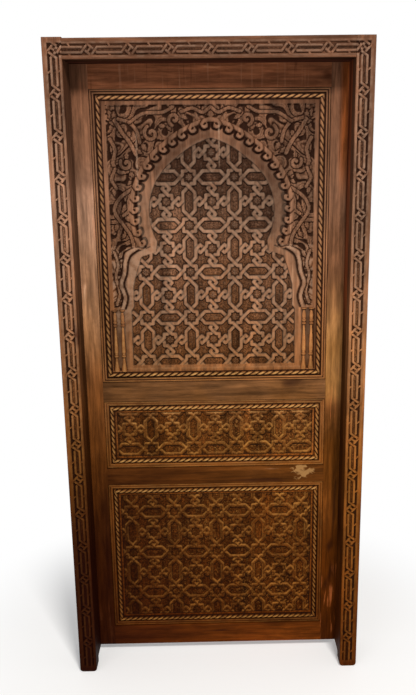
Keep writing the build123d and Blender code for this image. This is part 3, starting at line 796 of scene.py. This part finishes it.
def arch_field(x, z, outer, inner):
    """Height, dirt with painted shade, lines, ground and tops of the band and the straps in it, and where the
    straps are.
    """
    straps, line, ground, tops = strapwork(x, z, SHARP, *PATTERNS["top"])
    inside = smooth(-inner, -0.5, 2.2) * smooth(z - STRAPS_FOOT, -0.5, 2.2)
    band = BAND_FACE + 0.35 * np.cos(np.clip((outer + BAND_HALF) / BAND_HALF, -1, 1) * np.pi / 2)
    height = laid(band, BAND_FACE + straps + 0.8, inside)
    # Painted shade: darker along the band's outer edge, towards the top, and right of the middle higher up
    painted_upper_shade = most(0.48 * smooth(z, 1600, 1720), 0.63 * smooth(x, 10, 120) * smooth(z, 1440, 1520))
    dirt_and_shade = most(0.55 * smooth(outer, -6.0, -0.5), painted_upper_shade)
    line = most(line * inside, stroke(inner, 0.0, 3.4) * (z > STRAPS_FOOT))
    return height, dirt_and_shade, line, ground * inside, tops * inside, inside


def shoulder_parts(x, z, outer):
    """Where the shoulder is, the ribbon along it, the trench beside that, and the bar over the niches."""
    shoulder = (z < SHOULDER_TOP + 4) & (z > SHOULDER_FOOT)
    rib = within(outer, RIB_OUT, 2.2) * smooth(outer, RIB_IN, RIB_IN + 1.8) * shoulder
    trench = within(outer, TRENCH_OUT, 1.6) * shoulder * (1 - rib)
    bar = smooth(z - NICHE_TOP, 0.5, 2.0) * within(z, NICHE_TOP + 11.0, 1.8) * (np.abs(x) > NICHE_IN)
    return shoulder, rib, trench, bar


def spandrels(floor, leaves, rib, trench, bar):
    """Height, and dirt with painted shade in the gaps, of the leafwork on its sunk ground, with the ribbon
    and the bar.
    """
    height = laid(floor, 0.4 * leaves - 0.2, leaves)
    local_dirt_and_shade = 0.97 * smooth(1 - leaves, 0.05, 0.80)
    for face, soil_and_shade, share in ((TRENCH_FACE, 0.95, trench), (LEAF_FACE, 0.0, rib), (LEAF_FACE, 0.0, bar)):
        height = laid(height, face, share)
        local_dirt_and_shade = laid(local_dirt_and_shade, soil_and_shade, share)
    return height, local_dirt_and_shade


def running_scroll(z, ring, angle, floor):
    """Hooked waves along the arch, each with a drilled eye: height, dirt with painted shade, extent, lobes
    and their outline, which is also a painted shadow line.
    """
    step = ARCH_END / CURLS
    side = (angle / step % 1.0 - 0.5) * math.radians(step) * ARCH_RADIUS
    zone = (angle < ARCH_END + 1) & (z > SHOULDER_TOP - 8)
    lean = np.abs((side - 0.30 * (ring - 5)) / LOBE_HALF)
    reach = np.abs((ring - LOBE_MIDDLE) / LOBE_REACH)
    spread = 1.0 - (lean**LOBE_ROUND + reach**LOBE_ROUND) ** (1 / LOBE_ROUND)
    lobe = smooth(spread, 0.0, 0.14) * zone
    outline = stroke(spread, LOBE_GAP, LOBE_LINE, 1.8) * zone * within(ring, 10.0, 2.0)
    stem = smooth(ring, STEM_IN, STEM_IN + 2.0) * within(ring, STEM_OUT, 2.5)
    slit = 0.95 * bell(side + 0.8 * (ring - 18), 10.0, 2.6)
    wave = most(lobe, stem * (1 - slit) * zone)
    from_eye = np.hypot(side + 1.0 + 0.4 * (ring - EYE_OUT), (ring - EYE_OUT) * 1.15)
    eye = within(from_eye, EYE_RADIUS, 2.0) * zone
    height = laid(laid(floor, 0.3, wave), TRENCH_FACE, eye)
    local_dirt_and_shade = most(0.95 * (1 - wave), 0.95 * eye, 0.30 * smooth(z, 1640, 1780))
    return height, local_dirt_and_shade, within(ring, SCROLL_OUT, 3.0) * zone, lobe, outline


def board_joints(x, z):
    drawn = [bell(x, place, 1.8) * smooth(z, *rise) * smooth(z, *fall) for place, rise, fall in BOARD_JOINTS]
    return sum(drawn)


def top_relief(x, z, gap):
    """Height, dirt with painted shade, lines, ground, tops worn and with painted highlights, and softness of
    the panel with the arch, gap from its edges.
    """
    outer, inner, ring, angle = arch_offsets(x, z)
    height, dirt_and_shade, line, ground, tops, inside = arch_field(x, z, outer, inner)
    leaves = leafwork(x, z)
    shoulder, rib, trench, bar = shoulder_parts(x, z, outer)
    floor = GROUND_FACE + 0.6 * np.sin(x * 0.55 + 2 * np.sin(z * 0.21)) * np.sin(z * 0.6)
    carved, local_dirt_and_shade = spandrels(floor, leaves, rib, trench, bar)
    curled, soil_and_shade, near, lobe, outline = running_scroll(z, ring, angle, floor)
    cut = most(smooth(outer, -0.8, 1.6), lobe)
    height = laid(height - 4.0 * outline, laid(carved, curled, near), cut)
    dirt_and_shade = laid(dirt_and_shade, laid(local_dirt_and_shade, soil_and_shade, near), cut)
    line = most(line * (1 - cut), outline)

    # Worn places: the band most of all on the left shoulder and less near the top; the straps less worn
    # towards the top, where they get painted shade
    pale_side = smooth(z, 1130, 1290) * within(z, SHOULDER_TOP + 70, 110) * smooth(-x, 150, 200)
    bare = 0.17 + 0.38 * pale_side - 0.20 * smooth(z, 1600, 1720)
    strap_top_shade = smooth(z, 1500, 1700) * inside
    dirt_and_shade = most(dirt_and_shade, 0.66 * strap_top_shade)
    tops = most(tops, bare * (1 - cut) * (1 - inside)) * (1 - 0.4 * strap_top_shade)
    leafy = cut * (1 - near)
    leaf_tops = (0.12 + 0.40 * shoulder) * smooth(leaves, 0.7, 0.95) * leafy * (1 - trench)
    tops = most(tops, leaf_tops, 0.62 * rib, 0.9 * board_joints(x, z))
    ground = most(ground * (1 - cut), (0.62 - 0.3 * shoulder) * leafy * (1 - rib) * (1 - bar))

    # Plain border inside the rope, shaded here and there and painted darker at the top, and niches for the
    # colonnettes filled with painted shade
    border = smooth(gap, MARGIN + 0.5, MARGIN - 2.0)
    border = most(border, smooth(z, BORDER_FOOT + 2, BORDER_FOOT - 2))
    keep = 1 - border
    shadow = stroke(gap, MARGIN + 2.5, 2.6, 1.3) * cut * (1 - bar)
    dirt_and_shade = most(dirt_and_shade, 0.95 * shadow * smooth(np.sin(0.045 * z + 0.031 * x) + 0.5, 0.0, 0.6))
    dirt_and_shade = most(dirt_and_shade * keep, (0.16 + 0.24 * smooth(z, 1840, 1880)) * border)
    niche = (np.abs(x) > NICHE_IN) & (np.abs(x) < NICHE_OUT) & (z > COLUMN_FOOT) & (z < NICHE_TOP)
    height = np.where(niche, BAND_FACE - 0.3, height * keep)
    dirt_and_shade = np.where(niche, 0.75, dirt_and_shade)
    return height, dirt_and_shade, line * keep, ground * keep, tops * keep, 1 - 0.65 * cut


def low_relief(x, z, gap, pattern):
    """The same for a panel that is worn strapwork from edge to edge."""
    straps, line, ground, tops = strapwork(x, z, WORN, *pattern)
    keep = 1 - smooth(gap, LOW_MARGIN + 2.5, LOW_MARGIN)
    line = most(line * keep, stroke(gap, LOW_MARGIN + 1.5, 3.4))
    return (straps + 0.9) * keep, 0 * x, line, ground * keep, tops * keep, 0.3


def carved_panel(label):
    node = label + "_panel"
    low, high = box_mm(node)
    step, material = (STEP, CARVED) if label == "top" else (0.9 * STEP, CARVED_LOW)
    xs, zs = [framed_lines(low[axis], high[axis], HIDDEN, step) for axis in (0, 2)]
    x, z = np.meshgrid(xs, zs)
    gap = np.minimum(high[0] - np.abs(x), np.minimum(z - low[2], high[2] - z)) - INSET
    if label == "top":
        relief, soil_and_shade, line, ground, tops, ease = top_relief(x, z, gap)
    else:
        relief, soil_and_shade, line, ground, tops, ease = low_relief(x, z, gap, PATTERNS[label])
    dirt_and_shade, wear_and_highlight = marks(relief, step, 13.0, 0.12)
    layers = {"dirt_and_shade": most(0.5 * dirt_and_shade, soil_and_shade), "wear_and_highlight": most(ease * wear_and_highlight, tops)}
    layers.update(line=line, ground=ground)
    faced_block("carved", node, x, low[1] - relief, z, material, "leaf", layers)


for label in PATTERNS:
    carved_panel(label)


# Braided border of the frame

# Half a strap, its distance from the axis, the fillets beside the border, and the straight pieces of one
# knot and one tie as points across and along
BRAID_STRAP, BRAID_OUT = 3.7, 7.8
BRAID_LEFT, BRAID_RIGHT = -18.2, 15.4
TURN = 23.0
OVER_END, UNDER_END = (11.5, 8.5), (-20.0, -9.0)
KNOT_BAR = [(-6.5, 4.9), (6.5, -4.9)]
LINK_TIE = [(-20.0, -4.5), (-BRAID_OUT, 2.8)]
BAR_NARROWER, TIE_NARROWER = 0.5, 0.8
EDGE_SOFT, EDGE_LINE = 0.9, 2.2
BRAID_DEPTH = 6.5
KNOT_JAMB, KNOT_HEAD = 120.0, 115.0
HEAD_LOW, HEAD_HIGH = box_mm("head")
KNOT_Z = HEAD_LOW[2] + 27.0
AXIS_IN = 24.5
GROOVE_OUT, GROOVE_HALF, GROOVE_DEEP = 20.5, 1.1, 1.2
LONG_ARRIS, END_ARRIS = 2.6, 3.0
# Plain wood above the top knot and at the foot, and how the corners of the foot are worn round
PLAIN_ABOVE, PLAIN_BELOW = (KNOT_Z + 17.0, KNOT_Z + 19.5), (24.0, 20.0)
FOOT_WIDE, FOOT_TALL, FOOT_GONE = 11.0, 20.0, 8.0
HEAD_GAP, HEAD_SHORT = 0.3, 3.0


def both_ways(w, s, points):
    """Distance to a chain of segments and to the same chain turned half round."""
    return np.minimum(near_line(w, s, points)[0], near_line(-w, -s, points)[0])


def braid(s, w, pitch):
    """Two straps side by side from knot to knot, with slanted ties to both fillets halfway.

    In a knot one strap slants over to the other side and stops there. The other slants under it as far
    as a fillet. The second half of the knot is the first turned half round, with a short bar between.
    s runs along the timber and w across it; returns height from 0 to 1 and the lines along strap edges."""
    knot = ((s / pitch + 0.5) % 1.0 - 0.5) * pitch
    link = (s / pitch % 1.0 - 0.5) * pitch
    over = both_ways(w, knot, [(-BRAID_OUT, pitch / 2), (-BRAID_OUT, TURN), OVER_END])
    under = both_ways(w, knot, [(BRAID_OUT, pitch / 2), (BRAID_OUT, TURN), UNDER_END])
    under = np.minimum(under, both_ways(w, knot, KNOT_BAR) + BAR_NARROWER)
    under = np.minimum(under, both_ways(w, link, LINK_TIE) + TIE_NARROWER)
    dip = 1 - 0.25 * within(over, 7.0, 3.0)
    lower = within(under, BRAID_STRAP + EDGE_SOFT, 2 * EDGE_SOFT) * dip
    upper = within(over, BRAID_STRAP + EDGE_SOFT, 2 * EDGE_SOFT)
    fillet = most(within(w, BRAID_LEFT + 1.0, 2.0), smooth(w - BRAID_RIGHT + 1.0, 0.0, 2.0))
    between = 0.45 * within(np.abs(w), BRAID_OUT - BRAID_STRAP + 1, 2.0)
    height = most(lower, upper, fillet, between)
    gap = np.minimum(over, under)
    line = stroke(gap, BRAID_STRAP + 0.8, EDGE_LINE) * (gap > BRAID_STRAP)
    crossed = stroke(over, BRAID_STRAP + 0.6, EDGE_LINE) * (under < BRAID_STRAP)
    return height, most(line, crossed) * (1 - fillet)


def braid_layers(relief, line, height, away, soil_and_shade):
    """Values for the material: dirt with painted shade and wear with painted highlights from marks, dirt with
    painted shade in the depths, bare ground along the axis.
    """
    dirt_and_shade, wear_and_highlight = marks(relief, FINE, 8.0, 0.20)
    deep = soil_and_shade * smooth(-relief, 4.2, 6.2)
    ground = (np.abs(away) < 6) * smooth(1 - height, 0.3, 0.5)
    return {"dirt_and_shade": most(0.35 * dirt_and_shade, deep), "wear_and_highlight": wear_and_highlight, "line": line, "ground": ground}


def carved_jamb(side, node):
    low, high = box_mm(node)
    inner = high[0] if side < 0 else low[0]
    x, z = np.meshgrid(lines(low[0], high[0], FINE), lines(low[2], high[2], FINE))
    away = x - inner - side * AXIS_IN
    # Right and left are the same border turned half round
    height, line = braid(-side * (z - KNOT_Z), -side * away, KNOT_JAMB)
    corner, corner_line = braid(away, KNOT_Z - z, KNOT_HEAD)
    level = (np.abs(z - KNOT_Z) < np.abs(away)) & (side * away < 0)
    height, line = np.where(level, corner, height), np.where(level, corner_line, line)
    plain = most(smooth(z, *PLAIN_ABOVE), smooth(z, *PLAIN_BELOW))
    height, line = most(height, plain), line * (1 - plain)
    groove = GROOVE_DEEP * bell(np.abs(away), GROOVE_OUT, GROOVE_HALF) * (side * away > 0)
    edges = arris(x, low[0], high[0], LONG_ARRIS) + arris(z, low[2], high[2], END_ARRIS)
    relief = BRAID_DEPTH * (height - 1.0) - groove - edges
    layers = braid_layers(relief, line, height, away, 0.88)
    gone = np.clip(1 - np.minimum(x - low[0], high[0] - x) / FOOT_WIDE, 0, 1) ** 2
    z = z + FOOT_GONE * gone * np.clip(1 - (z - low[2]) / FOOT_TALL, 0, 1)
    # Painted shade on the post's inner side
    faced_block("carved", node, x, low[1] - relief, z, JAMB_WOOD, "frame", layers,
                lambda px, pz: 0.55 * (np.abs(px - inner) < 1.0))


def carved_head():
    low, high = HEAD_LOW, HEAD_HIGH
    half = box_mm("right_jamb")[0][0] - HEAD_GAP
    x, z = np.meshgrid(lines(-half, half, FINE), lines(low[2], high[2], FINE))
    height, line = braid(x, KNOT_Z - z, KNOT_HEAD)
    relief = BRAID_DEPTH * (height - 1.0) - arris(z, low[2], high[2], LONG_ARRIS)
    layers = braid_layers(relief, 0.8 * line, height, z - KNOT_Z, 0.5)
    # The head was cut a little short on the left, where the post stands proud of it
    drop = HEAD_SHORT * (0.5 - x / (2 * half)) * (z - low[2]) / (high[2] - low[2])
    # Painted shade on the head's underside
    faced_block("carved", "head", x, low[1] - relief, z - drop, HEAD_WOOD, "frame", layers,
                lambda px, pz: 0.8 * (np.abs(pz - low[2]) < 1.0))


carved_jamb(-1, "left_jamb")
carved_jamb(1, "right_jamb")
carved_head()


# Rope and reed mouldings

TWIST = {"top": 22.4, "middle": 20.2, "bottom": 18.8}
ROPE_HIGH, ROPE_FLOOR, REED_HIGH = 11.0, 1.0, 5.6
ROPE_HALF = 6.5
ROPE_STEP = 2.6
MITRE_GAP = 0.15
REED_SOIL_AND_SHADE = {"top": 0.95, "middle": 0.3, "bottom": 0.45}


def rope_profile(s, u, twist, soil_and_shade):
    """Height over the panel: a twisted half round between two grooves, then fine reeds out to the stile."""
    w = (u - ROPE_WIDE / 2) / ROPE_HALF
    dome = np.sqrt(np.clip(1 - w * w, 0, 1))
    turn = s + 1.25 * u + 1.6 * np.sin(2.2 * w)
    lay = np.abs(np.sin(np.pi * turn / twist)) ** 0.7
    rope = ROPE_FLOOR + (ROPE_HIGH - ROPE_FLOOR) * dome * (0.42 + 0.58 * lay)
    t = np.clip((u - ROPE_WIDE) / REED_WIDE, 0, 1)
    furrow = np.abs(np.sin(2 * np.pi * t))
    reed = REED_HIGH - 2.6 + 2.6 * furrow**0.7
    # Dirt with painted shade in the lay of the rope and the reeds' furrows; the shine is a painted highlight
    # on the crests
    local_dirt_and_shade = np.where(dome > 0, smooth(1 - lay, 0.12, 0.55), 0.92)
    local_dirt_and_shade = np.where(u <= ROPE_WIDE, local_dirt_and_shade, soil_and_shade * smooth(1 - furrow, 0.15, 0.65))
    shine = np.where(u <= ROPE_WIDE, smooth(dome * lay, 0.45, 0.95), 0.25 * smooth(furrow, 0.6, 1.0))
    return np.where(u <= ROPE_WIDE, rope, reed), local_dirt_and_shade, shine


ACROSS = np.concatenate([
    np.array([0.0, 1.3]),
    ROPE_WIDE / 2 + ROPE_HALF * np.sin(np.linspace(-np.pi / 2, np.pi / 2, 10)),
    np.array([ROPE_WIDE - 1.3, ROPE_WIDE]),
    np.linspace(ROPE_WIDE + 0.05, ROPE_WIDE + REED_WIDE, 14),
])


def rope_strip(node, corner, run, length, twist, soil_and_shade):
    """One side of a panel's frame, mitred at both ends, where run leads along it from the corner."""
    out = (run[1], -run[0])
    count = max(8, round(length / ROPE_STEP))
    t, u = np.meshgrid(np.linspace(0, 1, count), ACROSS)
    s = np.clip(-u + t * (length + 2 * u), MITRE_GAP - u, length + u - MITRE_GAP)
    rise, dirt_and_shade, wear_and_highlight = rope_profile(s, u, twist, soil_and_shade)
    x = corner[0] + s * run[0] + u * out[0]
    z = corner[1] + s * run[1] + u * out[1]
    material = ROPE_LEVEL if run[1] == 0 else ROPE_UP
    y = box_mm(node)[1][1] - rise
    faced_block("rope", node, x, y, z, material, "leaf", {"dirt_and_shade": dirt_and_shade, "wear_and_highlight": wear_and_highlight})


for label, twist in TWIST.items():
    low, high = box_mm(label + "_panel")
    right, bottom, top = high[0] - INSET, low[2] + INSET, high[2] - INSET
    strips = {
        "top": ((right, top), (-1, 0), 2 * right),
        "bottom": ((-right, bottom), (1, 0), 2 * right),
        "left": ((-right, top), (0, -1), top - bottom),
        "right": ((right, bottom), (0, 1), top - bottom),
    }
    for side, strip in strips.items():
        rope_strip(f"{label}_moulding_{side}", *strip, twist, REED_SOIL_AND_SHADE[label])


# Colonnettes

# Foot, ring, tapering shaft, a pair of rings, a small vase and a cap, as share of the height and radius
COLUMN = [
    (0.00, 8.0), (0.04, 7.4), (0.12, 5.2), (0.19, 3.4), (0.22, 3.4), (0.235, 6.2), (0.26, 6.4),
    (0.275, 4.2), (0.31, 6.0), (0.38, 6.2), (0.48, 5.2), (0.60, 3.8), (0.70, 2.8), (0.725, 2.8),
    (0.735, 6.0), (0.755, 6.0), (0.765, 4.0), (0.775, 4.0), (0.785, 6.2), (0.805, 6.2), (0.82, 4.2),
    (0.86, 5.6), (0.90, 5.2), (0.945, 3.2), (0.965, 3.6), (0.975, 7.0), (1.00, 8.0),
]
COLUMN_ROWS, COLUMN_TURNS = ((90, 17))


def colonnette(node):
    low, high = box_mm(node)
    middle, reach, deep = (low[0] + high[0]) / 2, (high[0] - low[0]) / 2, high[1] - low[1]
    t, turn = np.meshgrid(np.linspace(0, 1, COLUMN_ROWS), np.linspace(0, np.pi, COLUMN_TURNS))
    radius = np.interp(t, [place for place, size in COLUMN], [size for place, size in COLUMN])
    share = radius / radius.max()
    x = middle - np.cos(turn) * share * reach
    y = high[1] - np.sin(turn) * share * deep
    z = COLUMN_FOOT + t * (high[2] - COLUMN_FOOT)
    slope = np.abs(np.gradient(radius, axis=1))
    # Painted shade on the sides that turn away and dirt with painted shade at the rings; a painted highlight,
    # partly wear, along the front
    dirt_and_shade = most(np.clip(1.3 - 2.2 * np.sin(turn), 0, 0.9), np.clip(slope * 0.5, 0, 0.8))
    wear_and_highlight = 0.7 * smooth(np.sin(turn), 0.6, 1.0) * (1 - np.clip(slope, 0, 1))
    faced_block("turned", node, x, y, z, COLUMN_WOOD, "leaf", {"dirt_and_shade": dirt_and_shade, "wear_and_highlight": wear_and_highlight})


for place in ("left_outer", "left_inner", "right_inner", "right_outer"):
    colonnette(place + "_colonnette")


# Plain timbers

PLAIN = {
    "hinge_stile": UPRIGHT,
    "lock_stile": UPRIGHT,
    "top_rail": TOP_LEVEL,
    "lock_rail": LOCK_LEVEL,
    "middle_rail": MIDDLE_LEVEL,
    "bottom_rail": BOTTOM_LEVEL,
    "left_lining": LINED,
    "right_lining": LINED_RIGHT,
    "head_lining": LINED_HEAD,
}
WORN_EDGE = 1.6
HINGES = [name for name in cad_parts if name.endswith("hinge")]


def set_material(node, material):
    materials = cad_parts[node].data.materials
    materials.clear()
    materials.append(material)


for node, material in PLAIN.items():
    set_material(node, material)
    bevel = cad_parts[node].modifiers.new("worn edge", "BEVEL")
    bevel.width = WORN_EDGE * MM
    bevel.segments = 2
    bevel.limit_method = "ANGLE"


# Hinges and their screws

# Place of the screws from the edge and the foot of each half, then their own sizes
SCREW_IN, SCREW_UP = 11.0, (10.0, 40.0)
PLATE_FRONT = 3.0
SCREW_RADIUS, SLOT_HALF, SCREW_TALL = 4.4, 0.5, 1.3
SCREW_POINTS = 9


def half_head(cx, cz, y, half):
    """Half of a slotted screw head: its outline, the same one higher, and a smaller one on top."""
    first = math.asin(SLOT_HALF / SCREW_RADIUS)
    points = []
    for scale, lift in ((1.0, 0.0), (1.0, 0.5), (0.8, 1.0)):
        for turn in np.linspace(first, math.pi - first, SCREW_POINTS):
            dx = SCREW_RADIUS * scale * math.cos(turn)
            dz = max(SLOT_HALF, SCREW_RADIUS * scale * math.sin(turn))
            points.append((cx + half * dx, y + lift * SCREW_TALL, cz + half * dz))
    return points


def half_head_faces(start):
    faces = []
    for ring in (start, start + SCREW_POINTS):
        for k in range(SCREW_POINTS):
            a, b = ring + k, ring + (k + 1) % SCREW_POINTS
            faces.append((a, b, b + SCREW_POINTS, a + SCREW_POINTS))
    top = start + 2 * SCREW_POINTS
    return faces + [tuple(range(top, top + SCREW_POINTS))]


def hinge_screws(node):
    low, high = box_mm(node)
    on_frame = node.endswith("frame_hinge")
    x = low[0] + SCREW_IN if on_frame else high[0] - SCREW_IN
    points, faces = [], []
    for up in SCREW_UP:
        for half in (1, -1):
            faces += half_head_faces(len(points))
            points += half_head(x, low[2] + up, low[1] + PLATE_FRONT, half)
    mesh = bpy.data.meshes.new("screws_" + node)
    mesh.from_pydata((np.array(points) * MM).tolist(), [], faces)
    add_piece(mesh, IRON, "frame" if on_frame else "leaf")


for node in HINGES:
    set_material(node, IRON)
    hinge_screws(node)


# Studio

WHITE = (1, 1, 1, 1)


def area(name, place, aim, size, power, colour=(1, 1, 1)):
    data = bpy.data.lights.new(name, "AREA")
    data.shape = "RECTANGLE"
    data.size, data.size_y = size
    data.energy = power
    data.color = colour
    obj = bpy.data.objects.new(name, data)
    obj.location = place
    obj.rotation_euler = (Vector(aim) - Vector(place)).to_track_quat("-Z", "Y").to_euler()
    bpy.context.collection.objects.link(obj)


def studio_world(ambient_strength):
    """White behind the door, with weaker white light from all sides."""
    world = bpy.data.worlds.new("studio")
    bpy.context.scene.world = world
    g = Graph(world)
    ambient = g.add("Background", {"Color": WHITE, "Strength": ambient_strength})["Background"]
    seen = g.add("Background", {"Color": WHITE, "Strength": 1.0})["Background"]
    to_camera = g.add("LightPath", {})["Is Camera Ray"]
    choose = g.add("MixShader", {"Fac": to_camera, 1: ambient, 2: seen})["Shader"]
    g.fill(g.nodes["World Output"], {"Surface": choose})


def pale_floor(size, drop):
    """Pale floor, white away from the door."""
    bpy.ops.mesh.primitive_plane_add(size=size, location=(0, 0, -drop))
    floor = bpy.context.object
    floor.name = "floor"
    g = Graph(bpy.data.materials.new("floor"))
    near = {"Base Color": (0.92, 0.92, 0.92, 1), "Roughness": 0.9}
    g.fill(g.shader, {**near, "Emission Color": WHITE, "Emission Strength": 0.22})
    away = g.add("VectorMath", {0: g.place}, operation="LENGTH")["Value"]
    glow = g.add("Emission", {"Color": WHITE})["Emission"]
    shaders = {1: g.shader.outputs["BSDF"], 2: glow}
    blend = g.add("MixShader", {"Fac": g.span(away, 0.55, 1.2), **shaders})["Shader"]
    g.fill(g.nodes["Material Output"], {"Surface": blend})
    floor.data.materials.append(g.owner)


def add_camera(place, turn):
    data = bpy.data.cameras.new("camera")
    data.sensor_fit = "VERTICAL"
    data.sensor_height = 24.0
    data.lens = 26.56
    data.shift_x = -0.0269
    data.shift_y = -0.0013
    camera = bpy.data.objects.new("camera", data)
    camera.location = place
    camera.rotation_euler = [math.radians(v) for v in turn]
    bpy.context.collection.objects.link(camera)
    bpy.context.scene.camera = camera


area("key", (0.9, -3.4, 4.4), (0.0, 0.0, 1.35), (0.9, 0.7), 205, (1.0, 0.97, 0.93))
area("fill", (-2.6, -4.2, 2.2), (0.0, 0.0, 1.2), (3.0, 3.0), 40)
studio_world(0.28)
pale_floor(30, 0.0005)
add_camera((-0.003679, -2.42766, 1.724375), (76.36048, 0.58224, -1.21312))
bpy.context.scene.view_settings.view_transform = "Standard"
